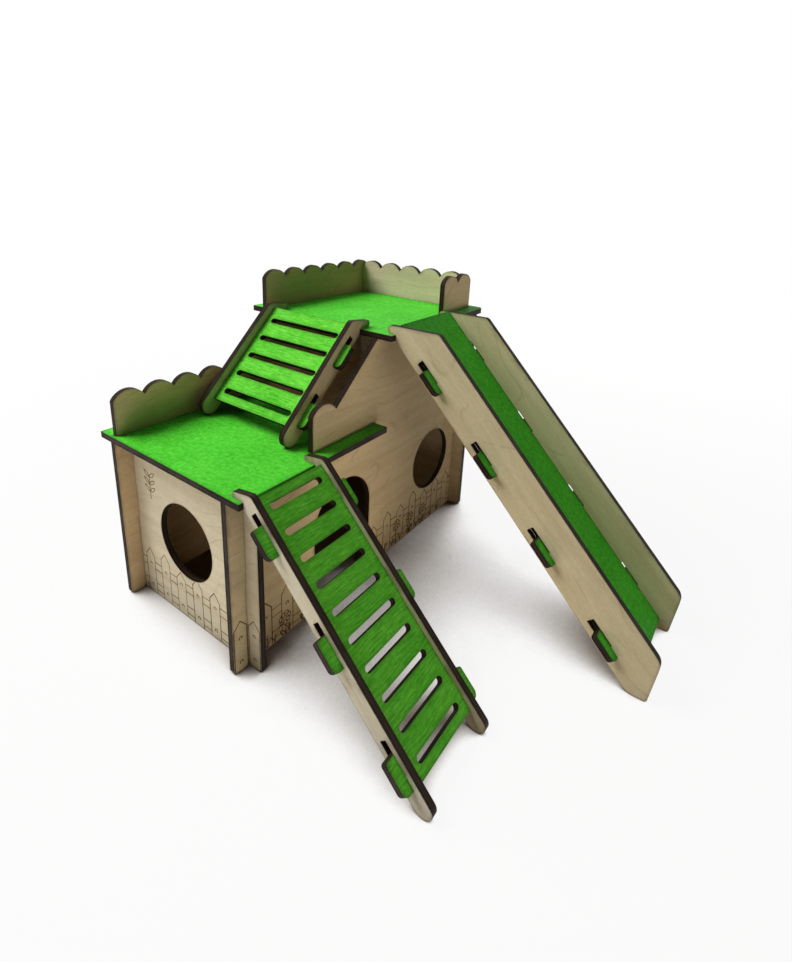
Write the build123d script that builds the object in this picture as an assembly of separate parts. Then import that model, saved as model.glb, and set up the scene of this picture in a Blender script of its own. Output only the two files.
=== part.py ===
from build123d import *

import os
from math import cos, radians, sin
from typing import NamedTuple

# Hamster castle of laser-cut plywood: a low room and a tower with loose green roofs, a ladder
# from roof to roof, a ramp from the low roof and a slide from the tower.
# House axes: X along the front wall from the low end to the tower, Y from front to back, Z up.
# The outer faces of the left end wall and of the front wall lie at X = 0 and Y = 0.

# Sheet and fits
PLY = 3.0
LAP_PLAY = 0.1  # a half-lap slot is this much wider than the sheet
TAB_PLAY = 0.1  # room round a tab in its slot
ROOF_PLAY = 0.2  # room round a parapet in a roof slot, on each side
SEAT_GAP = 0.3  # between a stringer and the roof edge or roof face that it only leans on
OVERRUN = 1.0  # how far a cut runs past the edge that it opens

# House
LENGTH = 177.0  # over the outer faces of the end walls
DEPTH = 84.0  # over the outer faces of the long walls
ARM = 8.0  # what each wall stands past a corner
ARM_CORNER = 2.0  # radius at the lower end of an arm
ROOM_HEIGHT = 85.0  # underside of the low roof
TOWER_RISE = 48.0  # from the low roof to the tower roof, which the ladder climbs
SLOPE_FOOT = 56.0  # X where the long walls start to rise to the tower
TOWER_START = 86.5  # X where they reach the tower roof
TOWER_HEIGHT = ROOM_HEIGHT + TOWER_RISE  # underside of the tower roof

# Parapets
PARAPET = 20.0  # from a roof's underside to the valleys between the scallops
SCALLOP_RISE = 4.5
LOW_INSET = 1.6  # low parapet's end, in from the end of the arm
TOWER_REACH = 3.2  # tower parapet's end, past the right end wall
LOW_SCALLOPS = 4
LOW_FRONT_SCALLOPS = 1
TOWER_SCALLOPS = 6
TOWER_FRONT_SCALLOPS = 2
END_SCALLOPS = 5

# Openings
OPENING_HEIGHT = 43.8  # centres of the windows and of the door's arch
WINDOW_DIAMETER = 39.0
WINDOW_FROM_END = 31.2  # front window's centre, in from the tower end
DOOR_WIDTH = 42.4
DOOR_CENTRE = 62.6

# Roofs
ROOF_OVERHANG = 8.2
ROOF_SPLIT = 0.5  # the low roof stops this far short of the tower roof's edge
ROOF_CORNER = 4.0  # radius at the tower roof's outer corners

# Hook tabs of the three flights
TAB_LENGTH = 13.0
TAB_CATCH = 5.0  # part of a tab that hooks past the end of its slot
TAB_REACH = 4.4  # what a tab stands out of the side that it holds
TAB_TOE = 2.5  # radius at a tab's lower corner
TAB_HEEL = 1.0  # radius at its upper corner

# Fingers by which the three flights hang on a roof
TIP_SHARE = 0.45  # corner radius at a finger's tip, of the tip's height
BEND_RADIUS = 3.0  # where a finger turns into the slope

# Grip slots in the ladder and the ramp
GRIP_WIDTH = 3.0
GRIP_MARGIN = 4.0  # from a slot's end to the panel's side

# Ladder from the low roof to the tower roof
LADDER_FROM_FRONT = 11.4  # front stringer's outer face, from the front wall's
LADDER_WIDTH = 62.4
LADDER_SLOPE_ANGLE = 44.2
LADDER_SIDE = 10.0
LADDER_SEAT = 3.0
LADDER_HEAD = 2.6
LADDER_TAIL = 6.2
LADDER_FINGER = 7.5
LADDER_FINGER_HEIGHT = 5.2
LADDER_TIP = 3.6
LADDER_TAB_COUNT = 2
LADDER_FIRST_TAB = 11.7
LADDER_LAST_TAB = 1.5
LADDER_GRIP_COUNT = 5
LADDER_FIRST_GRIP = 8.4
LADDER_LAST_GRIP = 6.0

# Ramp from the low roof to the ground
RAMP_FROM_END = 2.1  # left stringer's outer face, in from the low roof's left edge
RAMP_WIDTH = 42.2
RAMP_SLOPE_ANGLE = 45.0
RAMP_SIDE = 8.1
RAMP_SEAT = 2.7
RAMP_HEAD = 1.7
RAMP_TAIL = 7.3
RAMP_FINGER = 6.5
RAMP_FINGER_HEIGHT = 4.2
RAMP_TIP = 2.6
RAMP_TAB_COUNT = 3
RAMP_FIRST_TAB = 9.8
RAMP_LAST_TAB = 0.8
RAMP_GRIP_COUNT = 10
RAMP_FIRST_GRIP = 5.6
RAMP_LAST_GRIP = 5.4

# Slide from the tower roof to the ground
SLIDE_FROM_EDGE = 3.2  # left side's outer face, in from the tower roof's left edge
SLIDE_WIDTH = 52.2
SLIDE_SLOPE_ANGLE = 45.5
SLIDE_SIDE = 22.8
SLIDE_SEAT = 3.5
SLIDE_HEAD = 5.0
SLIDE_TAIL = 4.0
SLIDE_FINGER = 4.7
SLIDE_FINGER_HEIGHT = 4.6
SLIDE_TIP = 4.3
SLIDE_TAB_COUNT = 4
SLIDE_FIRST_TAB = 26.0
SLIDE_LAST_TAB = 13.2
SLIDE_HEADROOM = 0.6  # light gap over the floor in a tab slot
SLIDE_FOOT = 8.0  # flat on the ground under a side
SLIDE_LEAN = 2.4  # what a side's lower end leans out over its foot
SLIDE_HEEL_RADIUS = 5.0
SLIDE_TOE_RADIUS = 2.0
SLIDE_END_RADIUS = 7.0


class Flight(NamedTuple):
    """A sloping way down from a roof edge: two sides and a panel hooked between them."""

    hang: float  # top face of the roof that it hangs on
    stand: float  # height that its feet stand on
    width: float  # over the outer faces of its sides
    slope: float  # degrees from level
    side: float  # width of a side, square to the slope
    seat: float  # from a side's lower edge to the panel's underside
    head: float  # panel's upper end above the roof
    tail: float  # panel's lower end above what the feet stand on
    finger: float  # what a finger reaches over the roof
    finger_height: float  # at the bend
    tip: float  # a finger's height at its tip
    tabs: int
    first_tab: float  # from the panel's upper end
    last_tab: float  # from the panel's lower end
    grips: int = 0
    first_grip: float = 0  # first slot's middle, from the panel's upper end
    last_grip: float = 0
    headroom: float = TAB_PLAY / 2  # of a tab slot over the panel


LADDER = Flight(
    TOWER_HEIGHT + PLY, ROOM_HEIGHT + PLY + SEAT_GAP, LADDER_WIDTH, LADDER_SLOPE_ANGLE, LADDER_SIDE,
    LADDER_SEAT, LADDER_HEAD, LADDER_TAIL, LADDER_FINGER, LADDER_FINGER_HEIGHT, LADDER_TIP,
    LADDER_TAB_COUNT, LADDER_FIRST_TAB, LADDER_LAST_TAB,
    LADDER_GRIP_COUNT, LADDER_FIRST_GRIP, LADDER_LAST_GRIP,
)
RAMP = Flight(
    ROOM_HEIGHT + PLY, 0, RAMP_WIDTH, RAMP_SLOPE_ANGLE, RAMP_SIDE,
    RAMP_SEAT, RAMP_HEAD, RAMP_TAIL, RAMP_FINGER, RAMP_FINGER_HEIGHT, RAMP_TIP,
    RAMP_TAB_COUNT, RAMP_FIRST_TAB, RAMP_LAST_TAB,
    RAMP_GRIP_COUNT, RAMP_FIRST_GRIP, RAMP_LAST_GRIP,
)
SLIDE = Flight(
    TOWER_HEIGHT + PLY, 0, SLIDE_WIDTH, SLIDE_SLOPE_ANGLE, SLIDE_SIDE,
    SLIDE_SEAT, SLIDE_HEAD, SLIDE_TAIL, SLIDE_FINGER, SLIDE_FINGER_HEIGHT, SLIDE_TIP,
    SLIDE_TAB_COUNT, SLIDE_FIRST_TAB, SLIDE_LAST_TAB, headroom=SLIDE_HEADROOM,
)


def rectangle(left, low, right, high):
    """A rectangle from its two corners."""
    return Polygon((left, low), (right, low), (right, high), (left, high), align=None)


def rounded(shape, corner, radius):
    """The flat shape with the corner nearest to a point rounded."""
    nearest = shape.vertices().sort_by_distance((*corner, 0))[0]
    return fillet(nearest, radius)


def scallops(start, end, valley, count):
    """Arcs of a parapet's top edge from start to end, which may lie on either side."""
    pitch = (end - start) / count
    arcs = []
    for number in range(count):
        left = start + number * pitch
        arcs.append(ThreePointArc((left, valley), (left + pitch / 2, valley + SCALLOP_RISE), (left + pitch, valley)))
    return arcs


def outline(*runs):
    """A face from runs of points and of ready edges, joined in order and closed."""
    edges, last, first = [], None, None
    for run in runs:
        is_edge = isinstance(run, Edge)
        start = run @ 0 if is_edge else Vector(*run)
        first = first or start
        if last is not None and (start - last).length > 0:
            edges.append(Line(last, start))
        if is_edge:
            edges.append(run)
        last = run @ 1 if is_edge else start
    edges.append(Line(last, first))
    return make_face(edges)


# Places that several pieces share
LOW_PARAPET_END = -ARM + LOW_INSET
TOWER_PARAPET_END = LENGTH + TOWER_REACH
LOW_PITCH = (SLOPE_FOOT - LOW_PARAPET_END) / LOW_SCALLOPS
TOWER_PITCH = (TOWER_PARAPET_END - TOWER_START) / TOWER_SCALLOPS
LOW_VALLEY = ROOM_HEIGHT + PARAPET
TOWER_VALLEY = TOWER_HEIGHT + PARAPET


def long_wall(low_count, tower_count):
    """Outline of a front or back wall with its scallops, slotted from below for the end walls."""
    low_start = SLOPE_FOOT - low_count * LOW_PITCH
    tower_start = TOWER_PARAPET_END - tower_count * TOWER_PITCH
    right = LENGTH + ARM
    face = outline(
        (-ARM, 0),
        (right, 0),
        (right, TOWER_HEIGHT),
        (TOWER_PARAPET_END, TOWER_HEIGHT),
        *scallops(TOWER_PARAPET_END, tower_start, TOWER_VALLEY, tower_count),
        (tower_start, TOWER_HEIGHT),
        (TOWER_START, TOWER_HEIGHT),
        *scallops(SLOPE_FOOT, low_start, LOW_VALLEY, low_count),
        (low_start, ROOM_HEIGHT),
        (-ARM, ROOM_HEIGHT),
    )
    for corner in (-ARM, right):
        face = rounded(face, (corner, 0), ARM_CORNER)
    for middle, height in ((PLY / 2, ROOM_HEIGHT), (LENGTH - PLY / 2, TOWER_HEIGHT)):
        half = (PLY + LAP_PLAY) / 2
        face -= rectangle(middle - half, -OVERRUN, middle + half, height / 2)
    return face


def end_wall(height, count):
    """Outline of an end wall, slotted from above for the long walls, with scallops between them."""
    right = DEPTH + ARM
    face = rectangle(-ARM, 0, right, height)
    for corner in (-ARM, right):
        face = rounded(face, (corner, 0), ARM_CORNER)
    top = height
    if count:
        front, back = PLY, DEPTH - PLY
        arcs = scallops(back, front, height + PARAPET, count)
        face += outline((front, height / 2), (back, height / 2), *arcs)
        top = height + PARAPET
    for middle in (PLY / 2, DEPTH - PLY / 2):
        half = (PLY + LAP_PLAY) / 2
        face -= rectangle(middle - half, height / 2, middle + half, top + OVERRUN)
    return face


def front_wall():
    """Front wall with the arched door and the round window."""
    face = long_wall(LOW_FRONT_SCALLOPS, TOWER_FRONT_SCALLOPS)
    left, right = DOOR_CENTRE - DOOR_WIDTH / 2, DOOR_CENTRE + DOOR_WIDTH / 2
    face -= rectangle(left, -OVERRUN, right, OPENING_HEIGHT)
    face -= Pos(DOOR_CENTRE, OPENING_HEIGHT) * Circle(DOOR_WIDTH / 2)
    face -= Pos(LENGTH - WINDOW_FROM_END, OPENING_HEIGHT) * Circle(WINDOW_DIAMETER / 2)
    return extrude(Plane.XZ * face, -PLY)


def back_wall():
    """Plain back wall."""
    face = long_wall(LOW_SCALLOPS, TOWER_SCALLOPS)
    return Pos(0, DEPTH, 0) * extrude(Plane.XZ * face, PLY)


def left_end_wall():
    """Low end wall with a round window."""
    face = end_wall(ROOM_HEIGHT, 0)
    face -= Pos(DEPTH / 2, OPENING_HEIGHT) * Circle(WINDOW_DIAMETER / 2)
    return extrude(Plane.YZ * face, PLY)


def right_end_wall():
    """Tower end wall with the scalloped parapet between the long walls."""
    face = end_wall(TOWER_HEIGHT, END_SCALLOPS)
    return Pos(LENGTH, 0, 0) * extrude(Plane.YZ * face, -PLY)


def wall_slot(start, end, outer):
    """Roof slot for a long wall's raised part; outer is the Y of the wall's lower face."""
    return rectangle(start - ROOF_PLAY, outer - ROOF_PLAY, end + ROOF_PLAY, outer + PLY + ROOF_PLAY)


def room_roof():
    """Low roof: the slots run out at its right edge, where the walls rise to the tower."""
    right = TOWER_START - ROOF_SPLIT
    plate = rectangle(-ROOF_OVERHANG, -ROOF_OVERHANG, right, DEPTH + ROOF_OVERHANG)
    plate -= wall_slot(SLOPE_FOOT - LOW_FRONT_SCALLOPS * LOW_PITCH, right + OVERRUN, 0)
    plate -= wall_slot(LOW_PARAPET_END, right + OVERRUN, DEPTH - PLY)
    return Pos(0, 0, ROOM_HEIGHT) * extrude(plate, PLY)


def tower_roof():
    """Tower roof: the back slot is open at the left, the end wall's slot joins both long ones."""
    right, back = LENGTH + ROOF_OVERHANG, DEPTH + ROOF_OVERHANG
    plate = rectangle(TOWER_START, -ROOF_OVERHANG, right, back)
    for corner in ((right, -ROOF_OVERHANG), (right, back)):
        plate = rounded(plate, corner, ROOF_CORNER)
    plate -= wall_slot(TOWER_PARAPET_END - TOWER_FRONT_SCALLOPS * TOWER_PITCH, TOWER_PARAPET_END, 0)
    plate -= wall_slot(TOWER_START - OVERRUN, TOWER_PARAPET_END, DEPTH - PLY)
    plate -= rectangle(LENGTH - PLY - ROOF_PLAY, PLY, LENGTH + ROOF_PLAY, DEPTH - PLY)
    return Pos(0, 0, TOWER_HEIGHT) * extrude(plate, PLY)


# A flight is built with its roof edge at x = 0 and running down in +x, its middle at y = 0.


def on_slope(flight, along, above):
    """Point (x, z) a way down the side's lower edge and square above it."""
    turn = radians(flight.slope)
    low = flight.hang - PLY
    return (
        SEAT_GAP + along * cos(turn) + above * sin(turn),
        low - along * sin(turn) + above * cos(turn),
    )


def slope_reach(flight, height, above):
    """How far down the slope a line, at a distance above the lower edge, comes to a height."""
    turn = radians(flight.slope)
    return (flight.hang - PLY + above * cos(turn) - height) / sin(turn)


def panel_ends(flight):
    """Upper and lower end of the panel, as ways down the slope."""
    head = slope_reach(flight, flight.hang + flight.head, flight.seat + PLY)
    tail = slope_reach(flight, flight.stand + flight.tail, flight.seat)
    return head, tail


def spread(first, last, count):
    """Evenly spaced places from first to last."""
    return [first + number * (last - first) / (count - 1) for number in range(count)]


def tab_places(flight):
    """Upper ends of the tabs, as ways down the slope."""
    head, tail = panel_ends(flight)
    return spread(head + flight.first_tab, tail - flight.last_tab - TAB_LENGTH, flight.tabs)


def side_head(flight):
    """Corners of a side from its bend back over the finger to the step at the roof edge."""
    top = flight.hang + flight.finger_height
    return [
        on_slope(flight, slope_reach(flight, top, flight.side), flight.side),
        (-flight.finger, flight.hang + flight.tip),
        (-flight.finger, flight.hang),
        (SEAT_GAP, flight.hang),
        on_slope(flight, 0, 0),
    ]


def side_face(flight, foot):
    """A side's face from its head and the corners of its foot, with bend and finger rounded."""
    head = side_head(flight)
    face = Polygon(*head, *foot, align=None)
    tip_radius = TIP_SHARE * flight.tip
    for corner, radius in zip(head, (BEND_RADIUS, tip_radius, tip_radius)):
        face = rounded(face, corner, radius)
    return face


def stringer_face(flight):
    """A narrow side that ends in a half-round foot."""
    half = flight.side / 2
    reach = slope_reach(flight, flight.stand + half, half)
    face = side_face(flight, [on_slope(flight, reach, 0), on_slope(flight, reach, flight.side)])
    return face + Pos(*on_slope(flight, reach, half)) * Circle(half)


def slide_side_face(flight):
    """A wide side that is cut off nearly upright above a short flat on the ground."""
    turn = radians(flight.slope)
    heel = on_slope(flight, slope_reach(flight, flight.stand, 0), 0)
    toe = (heel[0] + SLIDE_FOOT, heel[1])
    height = (flight.side - (SLIDE_FOOT + SLIDE_LEAN) * sin(turn)) / cos(turn)
    end = (toe[0] + SLIDE_LEAN, toe[1] + height)
    face = side_face(flight, [heel, toe, end])
    for corner, radius in ((heel, SLIDE_HEEL_RADIUS), (toe, SLIDE_TOE_RADIUS), (end, SLIDE_END_RADIUS)):
        face = rounded(face, corner, radius)
    return face


def side_plate(flight, face, is_far):
    """A side with its tab slots, on the far or the near side of the panel."""
    for place in tab_places(flight):
        top = place - TAB_CATCH - TAB_PLAY
        bottom = place + TAB_LENGTH - TAB_CATCH
        low, high = flight.seat - TAB_PLAY / 2, flight.seat + PLY + flight.headroom
        corners = ((top, low), (bottom, low), (bottom, high), (top, high))
        face -= Polygon(*(on_slope(flight, *corner) for corner in corners), align=None)
    plate = extrude(Plane.XZ * face, PLY)
    return Pos(0, flight.width / 2 if is_far else PLY - flight.width / 2, 0) * plate


def tab(flight, place, is_far):
    """A hook tab in the panel's plane: the neck fills the lower part of its slot."""
    inner = flight.width / 2 - PLY
    outer = flight.width / 2
    neck = rectangle(place, inner - OVERRUN, place + TAB_LENGTH - TAB_CATCH, outer + TAB_REACH / 2)
    hook = rectangle(place, outer + TAB_PLAY / 2, place + TAB_LENGTH, outer + TAB_REACH)
    hook = rounded(hook, (place + TAB_LENGTH, outer + TAB_REACH), TAB_TOE)
    hook = rounded(hook, (place, outer + TAB_REACH), TAB_HEEL)
    shape = neck + hook
    return shape if is_far else mirror(shape, Plane.XZ)


def panel(flight):
    """The panel between the sides, with its tabs and any grip slots."""
    head, tail = panel_ends(flight)
    half = flight.width / 2 - PLY
    face = rectangle(head, -half, tail, half)
    for place in tab_places(flight):
        face += tab(flight, place, True) + tab(flight, place, False)
    if flight.grips:
        grip = SlotOverall(2 * (half - GRIP_MARGIN), GRIP_WIDTH, rotation=90)
        for place in spread(head + flight.first_grip, tail - flight.last_grip, flight.grips):
            face -= Pos(place, 0) * grip
    x, z = on_slope(flight, 0, flight.seat)
    return Pos(x, 0, z) * Rot(0, flight.slope, 0) * extrude(face, PLY)


def flight_parts(flight, face):
    """Panel, near side and far side of a flight."""
    return panel(flight), side_plate(flight, face, False), side_plate(flight, face, True)


def castle():
    """All pieces by name, in the house's axes."""
    ladder_place = Pos(TOWER_START, LADDER_FROM_FRONT + LADDER.width / 2, 0) * Rot(0, 0, 180)
    ramp_place = Pos(RAMP_FROM_END - ROOF_OVERHANG + RAMP.width / 2, -ROOF_OVERHANG, 0) * Rot(0, 0, -90)
    slide_place = Pos(TOWER_START + SLIDE_FROM_EDGE + SLIDE.width / 2, -ROOF_OVERHANG, 0) * Rot(0, 0, -90)
    ladder = [ladder_place * piece for piece in flight_parts(LADDER, stringer_face(LADDER))]
    ramp = [ramp_place * piece for piece in flight_parts(RAMP, stringer_face(RAMP))]
    slide = [slide_place * piece for piece in flight_parts(SLIDE, slide_side_face(SLIDE))]
    return {
        "front_wall": front_wall(),
        "back_wall": back_wall(),
        "left_end_wall": left_end_wall(),
        "right_end_wall": right_end_wall(),
        "room_roof": room_roof(),
        "tower_roof": tower_roof(),
        **dict(zip(("ladder_panel", "ladder_back_stringer", "ladder_front_stringer"), ladder)),
        **dict(zip(("ramp_panel", "ramp_left_stringer", "ramp_right_stringer"), ramp)),
        **dict(zip(("slide_floor", "slide_left_side", "slide_right_side"), slide)),
    }


def main():
    """Puts the origin under the middle of the whole footprint and writes one file per piece."""
    os.makedirs("parts", exist_ok=True)
    pieces = castle()
    boxes = [piece.bounding_box() for piece in pieces.values()]
    left, right = min(box.min.X for box in boxes), max(box.max.X for box in boxes)
    front, back = min(box.min.Y for box in boxes), max(box.max.Y for box in boxes)
    to_origin = Pos(-(left + right) / 2, -(front + back) / 2, 0)
    print("house axes start at", to_origin.position)
    for name, piece in pieces.items():
        export_step(to_origin * piece, f"parts/{name}.step")


main()
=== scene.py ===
import math
import random
from typing import NamedTuple

import bmesh
import bpy
import numpy as np
from mathutils import Euler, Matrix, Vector


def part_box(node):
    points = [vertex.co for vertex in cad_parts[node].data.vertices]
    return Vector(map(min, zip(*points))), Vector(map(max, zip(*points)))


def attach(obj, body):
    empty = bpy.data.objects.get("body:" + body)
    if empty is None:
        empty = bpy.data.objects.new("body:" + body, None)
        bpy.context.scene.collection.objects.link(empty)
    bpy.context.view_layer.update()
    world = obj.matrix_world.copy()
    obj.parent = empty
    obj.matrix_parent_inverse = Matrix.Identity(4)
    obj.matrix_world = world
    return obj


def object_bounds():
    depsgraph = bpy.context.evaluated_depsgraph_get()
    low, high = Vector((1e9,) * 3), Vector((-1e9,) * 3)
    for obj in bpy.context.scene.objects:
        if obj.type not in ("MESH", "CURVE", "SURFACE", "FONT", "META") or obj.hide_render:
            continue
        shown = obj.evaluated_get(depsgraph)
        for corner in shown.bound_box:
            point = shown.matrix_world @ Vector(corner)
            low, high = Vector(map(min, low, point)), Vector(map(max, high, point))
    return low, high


# Hamster castle of laser-cut plywood: birch walls and sides, green-stained roofs and ways down,
# charred cut edges and a picket fence engraved round the foot of the walls.


class Grain(NamedTuple):
    """A noise: features per unit of its three coordinates, finer octaves and their weight."""

    scale: tuple
    detail: float = 2.0
    roughness: float = 0.5


MM = 0.001
SEED = 7
WHITE = (1, 1, 1, 1)

# Camera
CAMERA_PLACE = (-0.20978, -0.12828, 0.20330)
CAMERA_TURN = (72.80, -2.52, -54.41)  # degrees about X, Y and Z
CAMERA_LENS = 20.336
CAMERA_SHIFT = -0.1258
CAMERA_NEAREST = 0.01

# Light
KEY_FROM = (-0.34, 0.625, 0.70)
KEY_DISTANCE = 1.2
KEY_SIZE = 0.7
KEY_POWER = 16.2
KEY_COLOUR = (250, 252, 255)
# Place, aim, size, power and colour of the dim lamps: two on the floor, two low beside the house
FILLS = (
    ((-0.20, 0.06, 0.002), (-0.20, 0.06, 1.0), (0.14, 0.16), 0.1, (250, 246, 240)),
    ((-0.026, -0.03, 0.002), (-0.026, -0.03, 1.0), (0.036, 0.07), 0.02, (255, 234, 212)),
    ((-0.05, -0.50, 0.032), (0.0, 0.03, 0.05), (0.3, 0.06), 0.42, (255, 234, 212)),
    ((0.60, 0.06, 0.10), (0.09, 0.06, 0.08), (0.4, 0.14), 1.0, (250, 246, 240)),
)
AMBIENT_COLOUR = (255, 240, 220)
AMBIENT_STRENGTH = 0.028

# Floor
FLOOR_SIZE = 8.0
FLOOR_DROP = 0.2 * MM
FLOOR_OPEN = (0.78, 0.76, 0.73, 1)
FLOOR_INSIDE = (0.14, 0.105, 0.066, 1)  # painted shade: the floor's colour in the dark under the house
FLOOR_SHADE = (0.55, 0.47, 0.4, 1)  # painted shade: colour of the floor's glow in half shade
GLOW_SHARE = 0.92  # of white in the open floor near the object; far off it is all white
GLOW_NEAR = 0.2
GLOW_FAR = 0.6
SHADE_REACH = 150.0 * MM
SHADE_SKY = (0.26, 0.54)  # shares of open sky with full shade and with none
SHADE_SAMPLES = 32

# Sheet
PLY = 3.0 * MM
ARM = 8.0 * MM
RIM = 0.7 * MM  # browned face along a cut edge
STAIN = 2.8 * MM  # reach of smoke stains from a cut edge
EDGE_OPEN = 0.5  # open share inside the sheet at a cut edge, against 1 away from it
# Reach of a painted shade, share of open sky where it starts and its darkest factor
CORNER_SHADE = (14.0 * MM, 0.75, 0.75)  # of birch: painted shade in corners and where pieces cross
COVERED_SHADE = (50.0 * MM, 0.60, 0.05)  # of green faces: painted shadow where they lie under other pieces, darkest under the ladder
CLOSED_SKY = 0.2  # share of open sky at which a face is darkest
FACE_SAMPLES = 8
SHEET_SHIFT = 3.0  # most that a piece's grain is shifted, in metres
FACE_TURN = 0.7  # cosine to the sheet's normal above which a polygon is part of a face
UNDER_TURN = -0.5  # Z of the normal below which a face is an underside
FRONT_TURN = -0.9  # Y of the normal below which an edge looks to the front

PLAIN_TINT = (1, 1, 1)
SHEET_AND_LIGHT_TINTS = {  # red, green and blue of a piece against the others: partly its sheet's tone, partly painted light and shade for how the lamps fall on it
    "front_wall": (1.19, 1.18, 1.11),
    "back_wall": (1.0, 0.88, 0.78),
    "left_end_wall": (1.06, 1.09, 1.16),
    "right_end_wall": (1.18, 1.16, 1.18),
    "ramp_left_stringer": (1.1, 1.16, 1.28),
    "slide_left_side": (1.10, 1.10, 1.03),
    "slide_right_side": (1.05, 1.12, 0.99),
}
UNDER_SHADE_TINT = (0.55, 0.47, 0.38)  # painted shade: darker bare undersides of stained pieces, which face into the dark inside

# Noise
NOISE_RANGE = (0.3, 0.7)  # where most of a noise lies
DRIFT = Grain((16, 22, 0), 1.0)
BUMP_STRENGTH = 0.6

# Birch
BIRCH_DEEP = (203, 186, 150)
BIRCH_PALE = (216, 202, 170)
BIRCH_WANDER = 3 * MM
BIRCH_FIGURE = Grain((14, 210, 0), 3.0)
BIRCH_FIBRE = Grain((170, 2300, 0), 2.0, 0.6)
BIRCH_SPECKLE = Grain((520, 760, 0), 4.0, 0.75)
BIRCH_CLOUD = Grain((20, 30, 0), 3.0)
FIBRE_TONES = (0.94, 1.05)
SPECKLE_TONES = (0.92, 1.07)
CLOUD_TONES = (0.91, 1.05)
BIRCH_ROUGHNESS = (0.75, 0.6)
BIRCH_BUMP = 0.05 * MM
BIRCH_GLOSS = 0.25
GROWTH_COLOUR = (146, 114, 76)
GROWTH_SHARE = 0.28
GROWTH_DEPTH = 0.4
GROWTH_COUNT = 60.0  # lines in a metre across the grain
GROWTH_ARCHES = Grain((11, 17, 0), 1.5, 0.45)
GROWTH_ARCH_REACH = 9.0  # in spacings of the lines
GROWTH_WIDTH = 0.07  # half of a line's width, in spacings
GROWTH_BREAKS = Grain((60, 90, 0), 2.0)
GROWTH_BREAK_RANGE = (0.42, 0.62)
FLECK_COLOUR = (92, 70, 48)
FLECKS = Grain((34, 620, 0), 1.0, 0.4)
FLECK_RANGE = (0.79, 0.84)
FLECK_SHARE = 0.75
SMOKE_COLOUR = (128, 96, 60)
SMOKE_PATCHES = Grain((75, 75, 0), 2.0)
SMOKE_RANGE = (0.56, 0.72)
SMOKE_SHARE = 0.6
BROWNED_COLOUR = (96, 70, 44)
BROWNED_SHARE = 0.5

# Green stain: deep and pale colour, share of the grain and share of the specks
ROOF_STAIN = ((54, 184, 28), (110, 240, 72), 0.1, 0.3)
TREAD_STAIN = ((62, 180, 28), (134, 246, 80), 0.27, 0.14)
CHUTE_STAIN = ((44, 164, 24), (94, 220, 64), 0.1, 0.3)
GREEN_WANDER = 2 * MM
GREEN_FIBRE = Grain((120, 2600, 0), 2.0, 0.6)
GREEN_STREAKS = Grain((150, 1400, 0), 3.0, 0.65)
STREAK_RANGE = (0.36, 0.64)
STREAK_DEPTH = 0.4
GREEN_SPECKS = Grain((480, 480, 0), 4.0, 0.75)
SPECK_RANGE = (0.35, 0.66)
GREEN_CLOUD = Grain((42, 42, 0), 5.0, 0.7)
CLOUD_SHARES = (0.3, 0.75)
SCUFF_COLOUR = (150, 236, 120)
SCUFFS = Grain((130, 420, 0), 4.0, 0.7)
SCUFF_RANGE = (0.6, 0.74)
SCUFF_SHARE = 0.4
GREEN_SMOKE_COLOUR = (34, 62, 18)
GREEN_SMOKE_SHARE = 0.2
GREEN_BROWNED_COLOUR = (26, 34, 14)
GREEN_BROWNED_SHARE = 0.35
GREEN_ROUGHNESS = (0.66, 0.52)
GREEN_BUMP = 0.06 * MM
GREEN_GLOSS = 0.18

# Cut edge
FACE_PLY = (33, 24, 17)
GLUE = (22, 15, 11)
CORE = (54, 38, 27)
PLIES = (  # place through the sheet and colour
    (0.28, FACE_PLY),
    (0.33, GLUE),
    (0.39, CORE),
    (0.61, CORE),
    (0.67, GLUE),
    (0.72, FACE_PLY),
)
EDGE_STROKES = Grain((3600, 3600, 0.8), 2.0, 0.6)
STROKE_TONES = (0.75, 1.25)
SOOT_COLOUR = (26, 19, 15)
SOOT = Grain((80, 80, 0.5), 3.0, 0.6)
SOOT_RANGE = (0.42, 0.66)
SOOT_SHARE = 0.75
STAINED_EDGE = (58, 150, 26)
EDGE_ROUGHNESS = (0.55, 0.8)
EDGE_BUMP = 0.05 * MM
EDGE_GLOSS = 0.2

# Burnt line
BURN_DEEP = (84, 60, 40)
BURN_PALE = (146, 116, 82)
BURN = Grain((500, 500, 500), 3.0, 0.6)
BURN_RANGE = (0.35, 0.65)
BURN_ROUGHNESS = (0.75, 0.9)
BURN_BUMP = 0.03 * MM
BURN_GLOSS = 0.15

# Engraving
LINE_WIDTH = 0.5 * MM
LINE_WIDTH_SHARES = (0.75, 1.1)
LINE_PROUD = 0.03 * MM
LINE_DEPTH = 0.3 * MM
# Corners of a line's section: side of its middle and distance out of the wall
LINE_SECTION = ((1, LINE_PROUD), (-1, LINE_PROUD), (-1, -LINE_DEPTH), (1, -LINE_DEPTH))
MITRE_LIMIT = 0.4
FOOT = 0.4 * MM  # height at which strokes start above the ground
PICKET_PITCH = 13.5 * MM
PICKET_WIDTH = 7.0 * MM
PICKET_HEIGHTS = (26.0 * MM, 28.5 * MM, 24.5 * MM, 27.0 * MM)
PICKET_POINT = 4.2 * MM
PICKET_JITTER = 0.6 * MM
RAILS = (2.8 * MM, 15.4 * MM)
RAIL_HEIGHT = 4.2 * MM
NAIL_RADIUS = 0.8 * MM
NAIL_ARC = (-60, 240)  # degrees, open below
OPENING_CENTRE = 43.8 * MM
WINDOW_RADIUS = 19.5 * MM
DOOR_RADIUS = 21.2 * MM
DOOR_CENTRE = 62.6 * MM
FRONT_WINDOW_FROM_END = 31.2 * MM
DAISY_PLACES = (18.0 * MM, 31.0 * MM, 108.0 * MM, 122.0 * MM, 136.0 * MM)
DAISY_HEIGHT = 11.0 * MM
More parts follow.
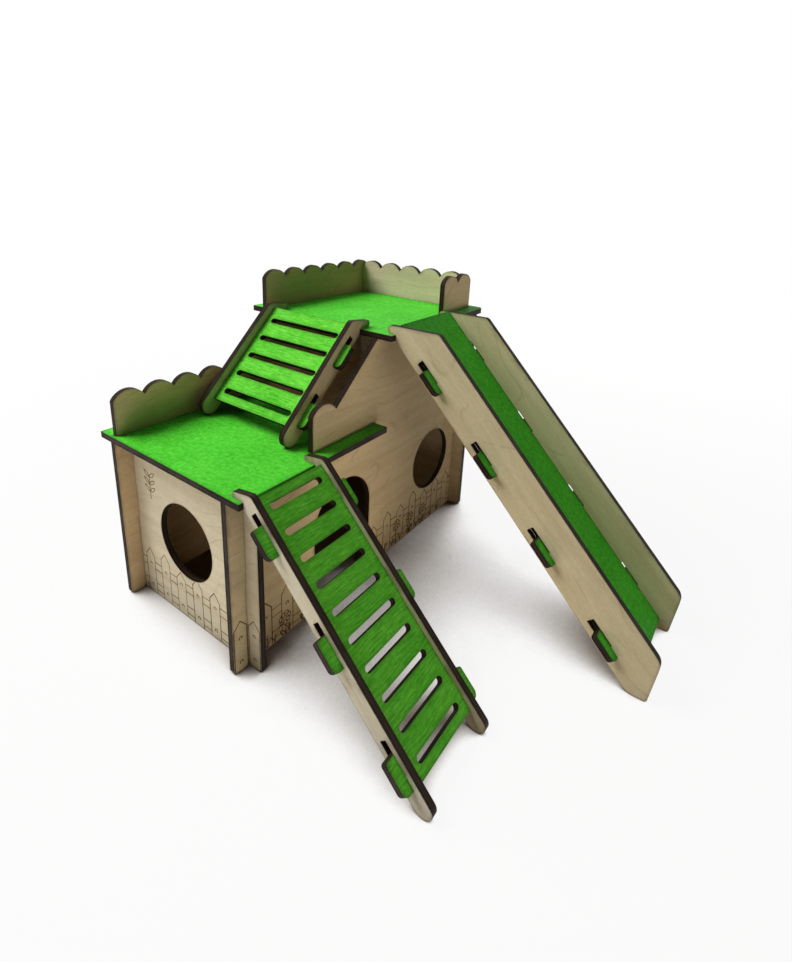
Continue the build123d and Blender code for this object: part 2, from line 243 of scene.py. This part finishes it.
DAISY_HEIGHT_SHARES = (0.8, 1.2)
DAISY_HEART = 1.1 * MM
DAISY_PETAL = 1.3 * MM
DAISY_PETAL_COUNT = 7
DAISY_PETAL_START = 0.3  # of the turn from petal to petal
DAISY_PETAL_ARC = 140  # degrees to each side
DAISY_LEAF_TURNS = (50, 130)  # degrees from level
LEAF_LENGTH = 5.0 * MM
LEAF_WIDTH = 1.8 * MM
LEAF_STATIONS = (0, 0.25, 0.5, 0.75, 1)
TUFT_PITCH = 9.0 * MM
TUFT_PLACE_SHARES = (0.2, 0.8)
BLADE_HEIGHT = 8.0 * MM
BLADE_HEIGHT_SHARES = (0.5, 1.0)
BLADE_LEAN_SHARES = (-0.5, 0.05, 0.45)
BLADE_KNEE = 0.6  # up the blade, where a third of its lean is reached
SPRIG_PLACE = (24.0 * MM, 57.0 * MM)
SPRIG_HEIGHT = 13.0 * MM
SPRIG_LEAF_SHARES = (0.3, 0.6, 0.9)  # up its stem
SPRIG_LEAF_TURNS = (35, 145)  # degrees from level

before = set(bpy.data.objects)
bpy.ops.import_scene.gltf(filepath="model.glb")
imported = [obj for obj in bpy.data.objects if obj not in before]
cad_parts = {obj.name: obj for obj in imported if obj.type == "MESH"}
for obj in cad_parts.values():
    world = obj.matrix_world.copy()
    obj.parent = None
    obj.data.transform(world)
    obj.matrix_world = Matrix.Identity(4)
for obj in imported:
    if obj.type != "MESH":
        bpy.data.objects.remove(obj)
cad_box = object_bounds()


def rgb(red, green, blue):
    """A screen colour as the linear one that sockets take."""
    shares = [part / 255 for part in (red, green, blue)]
    linear = [((share + 0.055) / 1.055) ** 2.4 if share > 0.04 else share / 12.92 for share in shares]
    return (*linear, 1.0)


def add(tree, kind, inputs=None, **settings):
    """A node with its settings, and its sockets set to values or linked to other sockets."""
    made = tree.nodes.new(kind)
    for name, value in settings.items():
        setattr(made, name, value)
    for key, value in (inputs or {}).items():
        if isinstance(value, bpy.types.NodeSocket):
            tree.links.new(value, made.inputs[key])
        else:
            made.inputs[key].default_value = value
    return made


def noise(tree, place, grain):
    """A noise over a place."""
    stretched = add(tree, "ShaderNodeVectorMath", {0: place, 1: grain.scale}, operation="MULTIPLY")
    inputs = {
        "Vector": stretched.outputs[0],
        "Scale": 1.0,
        "Detail": grain.detail,
        "Roughness": grain.roughness,
    }
    return add(tree, "ShaderNodeTexNoise", inputs).outputs["Fac"]


def math_node(tree, operation, first, second=0.0, third=0.0):
    """One step of arithmetic."""
    return add(tree, "ShaderNodeMath", {0: first, 1: second, 2: third}, operation=operation).outputs[0]


def remap(tree, value, low, high, to_low, to_high):
    """A value taken from one range to another, held at the ends."""
    inputs = {"Value": value, "From Min": low, "From Max": high, "To Min": to_low, "To Max": to_high}
    return add(tree, "ShaderNodeMapRange", inputs).outputs["Result"]


def spread(tree, value, to_low, to_high):
    """A noise taken from its usual range to another."""
    return remap(tree, value, *NOISE_RANGE, to_low, to_high)


def mix(tree, share, first, second):
    """Two colours mixed by a share."""
    return add(tree, "ShaderNodeMix", {0: share, 6: first, 7: second}, data_type="RGBA").outputs[2]


def tone(tree, colour, factor):
    """A colour made lighter or darker by a factor."""
    return add(tree, "ShaderNodeVectorMath", {0: colour, "Scale": factor}, operation="SCALE").outputs[0]


def new_material(name):
    """An empty material with its shader, and the sheet coordinates of the piece."""
    material = bpy.data.materials.new(name)
    material.use_nodes = True
    tree = material.node_tree
    shader = tree.nodes["Principled BSDF"]
    place = add(tree, "ShaderNodeAttribute", attribute_name="sheet").outputs["Vector"]
    return material, tree, shader, place


def warped(tree, place, reach):
    """Sheet coordinates that wander across the grain."""
    drift = remap(tree, noise(tree, place, DRIFT), 0, 1, -reach, reach)
    offset = add(tree, "ShaderNodeCombineXYZ", {"Y": drift})
    return add(tree, "ShaderNodeVectorMath", {0: place, 1: offset.outputs[0]}, operation="ADD").outputs[0]


def growth_lines(tree, place):
    """Thin broken growth lines of rotary-cut veneer, in long arches."""
    across = add(tree, "ShaderNodeSeparateXYZ", {0: place}).outputs["Y"]
    arches = math_node(tree, "MULTIPLY", noise(tree, place, GROWTH_ARCHES), GROWTH_ARCH_REACH)
    field = math_node(tree, "MULTIPLY_ADD", across, GROWTH_COUNT, arches)
    line = remap(tree, math_node(tree, "PINGPONG", field, 0.5), 0.0, GROWTH_WIDTH, 1, 0)
    unbroken = remap(tree, noise(tree, place, GROWTH_BREAKS), *GROWTH_BREAK_RANGE, 0, 1)
    return math_node(tree, "MULTIPLY", line, unbroken)


def edge_marks(tree, colour, smoke_share, smoke, browned_share, browned):
    """The colour with smoke stains and a browned rim along the sheet's cut edges."""
    settings = {"inside": True, "only_local": True, "samples": FACE_SAMPLES}
    inside = add(tree, "ShaderNodeAmbientOcclusion", {"Distance": STAIN}, **settings).outputs["AO"]
    stain = remap(tree, inside, EDGE_OPEN, 1.0, 1, 0)
    rim = remap(tree, inside, EDGE_OPEN, EDGE_OPEN + RIM / STAIN / 2, 1, 0)
    colour = mix(tree, math_node(tree, "MULTIPLY", stain, smoke_share), colour, smoke)
    return mix(tree, math_node(tree, "MULTIPLY", rim, browned_share), colour, browned)


def paint_closed_in_shade(tree, colour, reach, start, darkest):
    """Painted shade: the colour, darker where other pieces close the surface in."""
    sky = add(tree, "ShaderNodeAmbientOcclusion", {"Distance": reach}, samples=FACE_SAMPLES).outputs["AO"]
    return tone(tree, colour, remap(tree, sky, CLOSED_SKY, start, darkest, 1))


def finish_face(tree, shader, colour, roughness, height, depth, gloss):
    """Links colour, roughness and bump of a face and sets its gloss."""
    bump = add(tree, "ShaderNodeBump", {"Height": height, "Distance": depth, "Strength": BUMP_STRENGTH})
    tree.links.new(colour, shader.inputs["Base Color"])
    tree.links.new(roughness, shader.inputs["Roughness"])
    tree.links.new(bump.outputs["Normal"], shader.inputs["Normal"])
    shader.inputs["Specular IOR Level"].default_value = gloss


def birch():
    """Bare birch face: pale and fine-grained, with faint growth lines and smoke near cut edges."""
    material, tree, shader, place = new_material("birch_face")
    bent = warped(tree, place, BIRCH_WANDER)
    fibre = noise(tree, bent, BIRCH_FIBRE)
    speckle = noise(tree, place, BIRCH_SPECKLE)
    cloud = noise(tree, place, BIRCH_CLOUD)
    lines = growth_lines(tree, bent)
    figure = spread(tree, noise(tree, bent, BIRCH_FIGURE), 0, 1)
    colour = mix(tree, figure, rgb(*BIRCH_DEEP), rgb(*BIRCH_PALE))
    for grain, tones in ((fibre, FIBRE_TONES), (speckle, SPECKLE_TONES), (cloud, CLOUD_TONES)):
        colour = tone(tree, colour, spread(tree, grain, *tones))
    colour = mix(tree, math_node(tree, "MULTIPLY", lines, GROWTH_SHARE), colour, rgb(*GROWTH_COLOUR))
    # Per-piece tint: partly the sheet's tone, partly painted light and shade; on bare undersides it is
    # painted shade
    tint = add(tree, "ShaderNodeAttribute", attribute_name="tint").outputs["Vector"]
    colour = add(tree, "ShaderNodeVectorMath", {0: colour, 1: tint}, operation="MULTIPLY").outputs[0]
    flecks = remap(tree, noise(tree, bent, FLECKS), *FLECK_RANGE, 0, FLECK_SHARE)
    colour = mix(tree, flecks, colour, rgb(*FLECK_COLOUR))
    patches = remap(tree, noise(tree, place, SMOKE_PATCHES), *SMOKE_RANGE, 0, SMOKE_SHARE)
    colour = edge_marks(tree, colour, patches, rgb(*SMOKE_COLOUR), BROWNED_SHARE, rgb(*BROWNED_COLOUR))
    # Painted shade in corners and where pieces cross
    colour = paint_closed_in_shade(tree, colour, *CORNER_SHADE)
    grooves = math_node(tree, "MULTIPLY", lines, GROWTH_DEPTH)
    height = math_node(tree, "SUBTRACT", math_node(tree, "ADD", fibre, speckle), grooves)
    roughness = spread(tree, fibre, *BIRCH_ROUGHNESS)
    finish_face(tree, shader, colour, roughness, height, BIRCH_BUMP, BIRCH_GLOSS)
    return material


def stained(name, deep, pale, grain_share, speckle_share):
    """Green-stained face: the stain sits darker in the grain and dries in pale specks."""
    material, tree, shader, place = new_material(name)
    bent = warped(tree, place, GREEN_WANDER)
    fibre = noise(tree, bent, GREEN_FIBRE)
    streaks = remap(tree, noise(tree, bent, GREEN_STREAKS), *STREAK_RANGE, -1, 1)
    specks = remap(tree, noise(tree, place, GREEN_SPECKS), *SPECK_RANGE, -1, 1)
    cloud = spread(tree, noise(tree, place, GREEN_CLOUD), *CLOUD_SHARES)
    share = math_node(tree, "MULTIPLY_ADD", specks, speckle_share, cloud)
    inputs = {0: streaks, 1: grain_share, 2: share}
    share = add(tree, "ShaderNodeMath", inputs, operation="MULTIPLY_ADD", use_clamp=True).outputs[0]
    colour = mix(tree, share, rgb(*deep), rgb(*pale))
    colour = tone(tree, colour, spread(tree, fibre, 1 - grain_share / 2, 1 + grain_share / 3))
    scuffs = remap(tree, noise(tree, bent, SCUFFS), *SCUFF_RANGE, 0, SCUFF_SHARE)
    colour = mix(tree, scuffs, colour, rgb(*SCUFF_COLOUR))
    smoke, browned = rgb(*GREEN_SMOKE_COLOUR), rgb(*GREEN_BROWNED_COLOUR)
    colour = edge_marks(tree, colour, GREEN_SMOKE_SHARE, smoke, GREEN_BROWNED_SHARE, browned)
    # Painted shadow under the ladder and along the parapets and walls
    colour = paint_closed_in_shade(tree, colour, *COVERED_SHADE)
    height = math_node(tree, "ADD", fibre, math_node(tree, "MULTIPLY", streaks, STREAK_DEPTH))
    roughness = remap(tree, specks, -1, 1, *GREEN_ROUGHNESS)
    finish_face(tree, shader, colour, roughness, height, GREEN_BUMP, GREEN_GLOSS)
    return material


def inside_span(tree, low, high):
    """1 between two places along X and 0 outside them."""
    place = add(tree, "ShaderNodeTexCoord").outputs["Object"]
    along = add(tree, "ShaderNodeSeparateXYZ", {0: place}).outputs["X"]
    above = math_node(tree, "GREATER_THAN", along, low)
    return math_node(tree, "MULTIPLY", above, math_node(tree, "LESS_THAN", along, high))


def charred(name, stained_span=None):
    """Laser-cut edge: dark face plies, a browner core and fine strokes, stained over a span along X."""
    material, tree, shader, place = new_material(name)
    depth = add(tree, "ShaderNodeSeparateXYZ", {0: place}).outputs["Z"]
    strokes = noise(tree, place, EDGE_STROKES)
    soot = noise(tree, place, SOOT)
    plies = add(tree, "ShaderNodeValToRGB", {"Fac": depth})
    stops = plies.color_ramp.elements
    for stop in stops:
        stop.color = rgb(*FACE_PLY)
    for at, colour in PLIES:
        stops.new(at).color = rgb(*colour)
    colour = tone(tree, plies.outputs["Color"], spread(tree, strokes, *STROKE_TONES))
    colour = mix(tree, remap(tree, soot, *SOOT_RANGE, 0, SOOT_SHARE), colour, rgb(*SOOT_COLOUR))
    if stained_span:
        colour = mix(tree, inside_span(tree, *stained_span), colour, rgb(*STAINED_EDGE))
    roughness = spread(tree, soot, *EDGE_ROUGHNESS)
    finish_face(tree, shader, colour, roughness, strokes, EDGE_BUMP, EDGE_GLOSS)
    return material


def engraved():
    """Shallow burnt line, uneven in tone."""
    material, tree, shader, _ = new_material("engraved_line")
    place = add(tree, "ShaderNodeTexCoord").outputs["Object"]
    burn = noise(tree, place, BURN)
    colour = mix(tree, remap(tree, burn, *BURN_RANGE, 0, 1), rgb(*BURN_DEEP), rgb(*BURN_PALE))
    roughness = spread(tree, burn, *BURN_ROUGHNESS)
    finish_face(tree, shader, colour, roughness, burn, BURN_BUMP, BURN_GLOSS)
    return material


def sheet_normal(mesh):
    """Direction through the sheet: the one that most of the piece's surface faces."""
    areas = {}
    for polygon in mesh.polygons:
        normal = polygon.normal
        sign = 1 if max(normal, key=abs) > 0 else -1
        key = tuple(round(sign * part, 2) for part in normal)
        areas[key] = areas.get(key, 0) + polygon.area
    return Vector(max(areas, key=areas.get)).normalized()


def lay_sheet(mesh, normal, along, start):
    """Stores sheet coordinates: metres along and across the grain, and 0 to 1 through the sheet."""
    along = (along - along.dot(normal) * normal).normalized()
    across = normal.cross(along)
    places = np.array([vertex.co for vertex in mesh.vertices])
    depth = places @ np.array(normal)
    share = (depth - depth.min()) / (depth.max() - depth.min())
    level = [places @ np.array(way) + shift for way, shift in zip((along, across), start)]
    coordinates = np.stack([*level, share], 1)
    attribute = mesh.attributes.new("sheet", "FLOAT_VECTOR", "POINT")
    attribute.data.foreach_set("vector", coordinates.astype(np.float32).ravel())


def dress(name, face, edge, along, start, sheet_and_light_tint):
    """Gives a piece its face material, charred cut edges, a grain direction and its tint: partly its
    sheet's tone, partly painted light and shade.
    """
    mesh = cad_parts[name].data
    normal = sheet_normal(mesh)
    lay_sheet(mesh, normal, Vector(along), start)
    tint = mesh.attributes.new("tint", "FLOAT_VECTOR", "POINT")
    tint.data.foreach_set("vector", np.tile(sheet_and_light_tint, len(mesh.vertices)))
    mesh.materials.clear()
    mesh.materials.append(face)
    mesh.materials.append(edge)
    for polygon in mesh.polygons:
        polygon.material_index = 0 if abs(polygon.normal.dot(normal)) > FACE_TURN else 1


def bare_under(name, wood):
    """Leaves the underside of a stained piece bare."""
    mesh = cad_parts[name].data
    mesh.materials.append(wood)
    number = len(mesh.materials) - 1
    for polygon in mesh.polygons:
        if polygon.material_index == 0 and polygon.normal.z < UNDER_TURN:
            polygon.material_index = number


def paint_top(name):
    """Carries the stain over the upper end of a panel."""
    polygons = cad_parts[name].data.polygons
    max(polygons, key=lambda polygon: polygon.center.z).material_index = 0


def paint_ramp_head():
    """Carries the stain over the lower roof's front edge between the ramp's stringers."""
    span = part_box("ramp_left_stringer")[1].x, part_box("ramp_right_stringer")[0].x
    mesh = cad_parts["room_roof"].data
    mesh.materials.append(charred("ramp_head_edge", span))
    number = len(mesh.materials) - 1
    for polygon in mesh.polygons:
        if polygon.normal.y < FRONT_TURN:
            polygon.material_index = number


def dress_pieces():
    """Materials and grain directions of all plywood pieces."""
    wood, edge = birch(), charred("charred_edge")
    roof = stained("green_roof", *ROOF_STAIN)
    tread = stained("green_tread", *TREAD_STAIN)
    chute = stained("green_chute", *CHUTE_STAIN)
    chance = random.Random(SEED)
    x, y = (1, 0, 0), (0, 1, 0)
    up, down = (1, 0, 1), (0, -1, -1)
    plan = {
        "front_wall": (wood, x),
        "back_wall": (wood, x),
        "left_end_wall": (wood, y),
        "right_end_wall": (wood, y),
        "room_roof": (roof, y),
        "tower_roof": (roof, y),
        "ladder_panel": (tread, y),
        "ladder_back_stringer": (wood, up),
        "ladder_front_stringer": (wood, up),
        "ramp_panel": (tread, x),
        "ramp_left_stringer": (wood, down),
        "ramp_right_stringer": (wood, down),
        "slide_floor": (chute, down),
        "slide_left_side": (wood, down),
        "slide_right_side": (wood, down),
    }
    for name, (face, along) in plan.items():
        start = chance.uniform(0, SHEET_SHIFT), chance.uniform(0, SHEET_SHIFT)
        # Walls and sides take a tint that is partly painted light; stained pieces' bare undersides take
        # painted shade
        tint = SHEET_AND_LIGHT_TINTS.get(name, PLAIN_TINT) if face is wood else UNDER_SHADE_TINT
        dress(name, face, edge, along, start, tint)
        if face is not wood:
            bare_under(name, wood)
    for name in ("ladder_panel", "ramp_panel", "slide_floor"):
        paint_top(name)
    paint_ramp_head()


class Wall(NamedTuple):
    """The outer face of a wall: a corner at the ground, the way along it and the way out of it."""

    corner: Vector
    right: Vector
    out: Vector
    length: float

    def place(self, along, up, proud):
        """The point at a place along the wall, a height and a distance out of it."""
        return self.corner + self.right * along + Vector((0, 0, up)) + self.out * proud


def outer_faces():
    """The four walls' outer faces, seen from outside from left to right."""
    front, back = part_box("front_wall"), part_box("back_wall")
    left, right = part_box("left_end_wall"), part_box("right_end_wall")
    x, y = Vector((1, 0, 0)), Vector((0, 1, 0))
    return {
        "front_wall": Wall(Vector((front[0].x, front[0].y, 0)), x, -y, front[1].x - front[0].x),
        "back_wall": Wall(Vector((back[1].x, back[1].y, 0)), -x, y, back[1].x - back[0].x),
        "left_end_wall": Wall(Vector((left[0].x, left[1].y, 0)), -y, -x, left[1].y - left[0].y),
        "right_end_wall": Wall(Vector((right[1].x, right[0].y, 0)), y, x, right[1].y - right[0].y),
    }


class Hole(NamedTuple):
    """A round opening, or a door with a round head."""

    along: float
    radius: float
    is_door: bool


def holes_of(name, length):
    """Openings of a wall that its engraving stops at."""
    if name == "front_wall":
        window = length - ARM - FRONT_WINDOW_FROM_END
        return [Hole(ARM + DOOR_CENTRE, DOOR_RADIUS, True), Hole(window, WINDOW_RADIUS, False)]
    if name == "left_end_wall":
        return [Hole(length / 2, WINDOW_RADIUS, False)]
    return []


def is_open(point, holes):
    """Whether a point lies in an opening or in the rim close round it."""
    for hole in holes:
        reach = hole.radius + LINE_WIDTH
        beside, above = point[0] - hole.along, point[1] - OPENING_CENTRE
        if math.hypot(beside, above) < reach or (hole.is_door and abs(beside) < reach and above < 0):
            return True
    return False


def clipped(stroke, holes, steps=40):
    """The runs of a stroke that lie outside the openings."""
    runs, run = [], []
    for start, end in zip(stroke, stroke[1:]):
        points = [tuple(a + (b - a) * k / steps for a, b in zip(start, end)) for k in range(steps + 1)]
        if not any(is_open(point, holes) for point in points):
            run = (run or [start]) + [end]
            continue
        for point in points:
            if not is_open(point, holes):
                run.append(point)
            elif run:
                runs.append(run)
                run = []
    return [run for run in runs + [run] if len(run) > 1]


def arc(along, up, radius, first=0, last=360, count=10):
    """A round stroke between two angles in degrees."""
    turns = [math.radians(first + (last - first) * k / count) for k in range(count + 1)]
    return [(along + radius * math.cos(turn), up + radius * math.sin(turn)) for turn in turns]


def picket(along, height):
    """One pointed board."""
    left, right = along - PICKET_WIDTH / 2, along + PICKET_WIDTH / 2
    shoulder = height - PICKET_POINT
    return [(left, FOOT), (left, shoulder), (along, height), (right, shoulder), (right, FOOT)]


def fence(start, end, chance):
    """Strokes of a picket fence between two places along a wall."""
    count = max(1, round((end - start) / PICKET_PITCH))
    pitch = (end - start) / count
    width = min(PICKET_WIDTH, end - start)
    strokes = []
    edges = [start]
    for number in range(count):
        along = start + (number + 0.5) * pitch
        height = PICKET_HEIGHTS[number % len(PICKET_HEIGHTS)] + chance.uniform(-1, 1) * PICKET_JITTER
        strokes.append(picket(along, height))
        strokes += [arc(along, rail + RAIL_HEIGHT / 2, NAIL_RADIUS, *NAIL_ARC) for rail in RAILS]
        edges += [along - width / 2, along + width / 2]
    edges.append(end)
    for left, right in zip(edges[::2], edges[1::2]):
        for rail in RAILS:
            strokes += [[(left, rail + rise), (right, rail + rise)] for rise in (0, RAIL_HEIGHT)]
    return strokes


def leaf(along, up, turn):
    """A pointed leaf from its stalk, at an angle in degrees from level."""
    way = Vector((math.cos(math.radians(turn)), math.sin(math.radians(turn))))
    side = Vector((-way.y, way.x))
    stations = [(share, math.sin(math.pi * share)) for share in LEAF_STATIONS]
    rim = [way * LEAF_LENGTH * share + side * LEAF_WIDTH * bulge / 2 for share, bulge in stations]
    rim += [way * LEAF_LENGTH * share - side * LEAF_WIDTH * bulge / 2 for share, bulge in stations[-2::-1]]
    return [(along + point.x, up + point.y) for point in rim]


def daisy(along, chance):
    """A flower on a stem with two leaves."""
    up = DAISY_HEIGHT * chance.uniform(*DAISY_HEIGHT_SHARES)
    strokes = [arc(along, up, DAISY_HEART), [(along, up - DAISY_HEART - 2 * DAISY_PETAL), (along, FOOT)]]
    reach = DAISY_HEART + DAISY_PETAL
    for number in range(DAISY_PETAL_COUNT):
        turn = 360 * (number + DAISY_PETAL_START) / DAISY_PETAL_COUNT
        middle = (along + reach * math.cos(math.radians(turn)), up + reach * math.sin(math.radians(turn)))
        strokes.append(arc(*middle, DAISY_PETAL, turn - DAISY_PETAL_ARC, turn + DAISY_PETAL_ARC))
    return strokes + [leaf(along, LINE_WIDTH, turn) for turn in DAISY_LEAF_TURNS]


def tuft(along, chance):
    """Blades of grass from one root."""
    strokes = []
    for lean_share in BLADE_LEAN_SHARES:
        height = BLADE_HEIGHT * chance.uniform(*BLADE_HEIGHT_SHARES)
        bend = lean_share * height
        strokes.append([(along, FOOT), (along + bend / 3, height * BLADE_KNEE), (along + bend, height)])
    return strokes


def sprig(along, up):
    """A small twig with leaves to both sides."""
    strokes = [[(along, up), (along, up + SPRIG_HEIGHT)]]
    for share in SPRIG_LEAF_SHARES:
        strokes += [leaf(along, up + SPRIG_HEIGHT * share, turn) for turn in SPRIG_LEAF_TURNS]
    return strokes


def garden(start, end, chance):
    """Flowers and grass in front of the fence."""
    strokes = []
    for place in DAISY_PLACES:
        strokes += daisy(start + place, chance)
    for number in range(int((end - start) / TUFT_PITCH)):
        strokes += tuft(start + (number + chance.uniform(*TUFT_PLACE_SHARES)) * TUFT_PITCH, chance)
    return strokes


def ribbon(mesh, wall, stroke, width):
    """Adds one stroke to a mesh as a thin bar let into the wall."""
    points = [Vector(point) for point in stroke]
    rows = []
    for number, point in enumerate(points):
        around = points[max(number - 1, 0):number + 2]
        ways = [(b - a).normalized() for a, b in zip(around, around[1:])]
        sides = [Vector((-way.y, way.x)) for way in ways]
        middle = sum(sides, Vector((0, 0))).normalized()
        offset = middle * (width / 2 / max(MITRE_LIMIT, middle.dot(sides[0])))
        corners = [wall.place(*(point + sign * offset), proud) for sign, proud in LINE_SECTION]
        rows.append([mesh.verts.new(corner) for corner in corners])
    for one, two in zip(rows, rows[1:]):
        for corner in range(len(LINE_SECTION)):
            mesh.faces.new((one[corner], one[corner - 1], two[corner - 1], two[corner]))
    mesh.faces.new(rows[0])
    mesh.faces.new(rows[-1][::-1])


def wall_strokes(name, wall, chance):
    """Strokes of one wall: a fence between its crossings and on its arms, and what grows at it."""
    inner, outer = ARM + PLY + LINE_WIDTH, wall.length - ARM - PLY - LINE_WIDTH
    strokes = fence(inner, outer, chance)
    strokes += fence(LINE_WIDTH, ARM - LINE_WIDTH, chance)
    strokes += fence(wall.length - ARM + LINE_WIDTH, wall.length - LINE_WIDTH, chance)
    if name == "front_wall":
        strokes += garden(inner, outer, chance)
    if name == "left_end_wall":
        strokes += sprig(*SPRIG_PLACE)
    return strokes


def engrave(name, wall, material, chance):
    """The engraving of one wall, as one piece."""
    holes = holes_of(name, wall.length)
    mesh = bmesh.new()
    for stroke in wall_strokes(name, wall, chance):
        for run in clipped(stroke, holes):
            ribbon(mesh, wall, run, LINE_WIDTH * chance.uniform(*LINE_WIDTH_SHARES))
    bmesh.ops.recalc_face_normals(mesh, faces=mesh.faces)
    data = bpy.data.meshes.new(name + "_fence")
    mesh.to_mesh(data)
    mesh.free()
    data.materials.append(material)
    piece = bpy.data.objects.new(name + "_fence", data)
    bpy.context.scene.collection.objects.link(piece)
    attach(piece, "walls")


def engrave_walls():
    """Fences on all four walls."""
    line = engraved()
    chance = random.Random(SEED)
    for name, wall in outer_faces().items():
        engrave(name, wall, line, chance)


def area_lamp(name, place, aim, size, power, colour):
    """A soft rectangular lamp turned to a point."""
    lamp = bpy.data.lights.new(name, "AREA")
    lamp.shape = "RECTANGLE"
    lamp.size, lamp.size_y = size
    lamp.energy = power
    lamp.color = rgb(*colour)[:3]
    holder = bpy.data.objects.new(name, lamp)
    holder.location = place
    holder.rotation_euler = (Vector(aim) - Vector(place)).to_track_quat("-Z", "Y").to_euler()
    holder.visible_camera = False
    holder.visible_glossy = False
    bpy.context.scene.collection.objects.link(holder)


def seen_share(tree):
    """1 for rays that show the background: from the camera, in gloss and through glass."""
    path = add(tree, "ShaderNodeLightPath").outputs
    seen = math_node(tree, "MAXIMUM", path["Is Camera Ray"], path["Is Glossy Ray"])
    return math_node(tree, "MAXIMUM", seen, path["Is Transmission Ray"])


def light_world():
    """A dim world that shows as white."""
    world = bpy.data.worlds.new("studio")
    world.use_nodes = True
    bpy.context.scene.world = world
    tree = world.node_tree
    tree.nodes.clear()
    dim = add(tree, "ShaderNodeBackground", {"Color": rgb(*AMBIENT_COLOUR), "Strength": AMBIENT_STRENGTH})
    white = add(tree, "ShaderNodeBackground", {"Color": WHITE, "Strength": 1.0})
    both = add(tree, "ShaderNodeMixShader", {0: seen_share(tree), 1: dim.outputs[0], 2: white.outputs[0]})
    add(tree, "ShaderNodeOutputWorld", {"Surface": both.outputs[0]})


def light_scene():
    """Key from behind on the left, dim fills round the object and the world."""
    middle = (cad_box[0] + cad_box[1]) / 2
    place = middle + Vector(KEY_FROM) * KEY_DISTANCE
    area_lamp("key", place, middle, (KEY_SIZE, KEY_SIZE), KEY_POWER, KEY_COLOUR)
    for number, fill in enumerate(FILLS):
        area_lamp(f"fill_{number}", *fill)
    light_world()


def floor_material():
    """Pale floor that shows as white in the open; it keeps the object's cast shadow, and painted shade
    darkens it where the object closes off the sky.
    """
    material = bpy.data.materials.new("floor")
    material.use_nodes = True
    tree = material.node_tree
    tree.nodes.clear()
    place = add(tree, "ShaderNodeTexCoord").outputs["Object"]
    away = add(tree, "ShaderNodeVectorMath", {0: place}, operation="LENGTH").outputs["Value"]
    # Painted shade: floor colour and glow darker where the object closes off the sky
    inputs = {"Distance": SHADE_REACH}
    sky = add(tree, "ShaderNodeAmbientOcclusion", inputs, samples=SHADE_SAMPLES).outputs["AO"]
    open_share = remap(tree, sky, *SHADE_SKY, 0, 1)
    matt = add(tree, "ShaderNodeBsdfDiffuse", {"Color": mix(tree, open_share, FLOOR_INSIDE, FLOOR_OPEN)})
    shine = mix(tree, open_share, FLOOR_SHADE, WHITE)
    glow = add(tree, "ShaderNodeEmission", {"Color": shine, "Strength": 1.0})
    share = math_node(tree, "MULTIPLY", remap(tree, away, GLOW_NEAR, GLOW_FAR, GLOW_SHARE, 1), open_share)
    share = math_node(tree, "MULTIPLY", share, seen_share(tree))
    both = add(tree, "ShaderNodeMixShader", {0: share, 1: matt.outputs[0], 2: glow.outputs[0]})
    add(tree, "ShaderNodeOutputMaterial", {"Surface": both.outputs[0]})
    return material


def floor():
    """A wide floor just under the object."""
    bpy.ops.mesh.primitive_grid_add(size=FLOOR_SIZE, location=(0, 0, -FLOOR_DROP))
    made = bpy.context.object
    made.name = "floor"
    made.data.materials.append(floor_material())


def camera():
    """The photograph's view."""
    data = bpy.data.cameras.new("camera")
    data.lens = CAMERA_LENS
    data.shift_y = CAMERA_SHIFT
    data.clip_start = CAMERA_NEAREST
    holder = bpy.data.objects.new("camera", data)
    holder.location = CAMERA_PLACE
    holder.rotation_euler = Euler([math.radians(turn) for turn in CAMERA_TURN])
    bpy.context.scene.collection.objects.link(holder)
    bpy.context.scene.camera = holder


dress_pieces()
engrave_walls()
light_scene()
floor()
camera()
bpy.context.scene.view_settings.view_transform = "Standard"
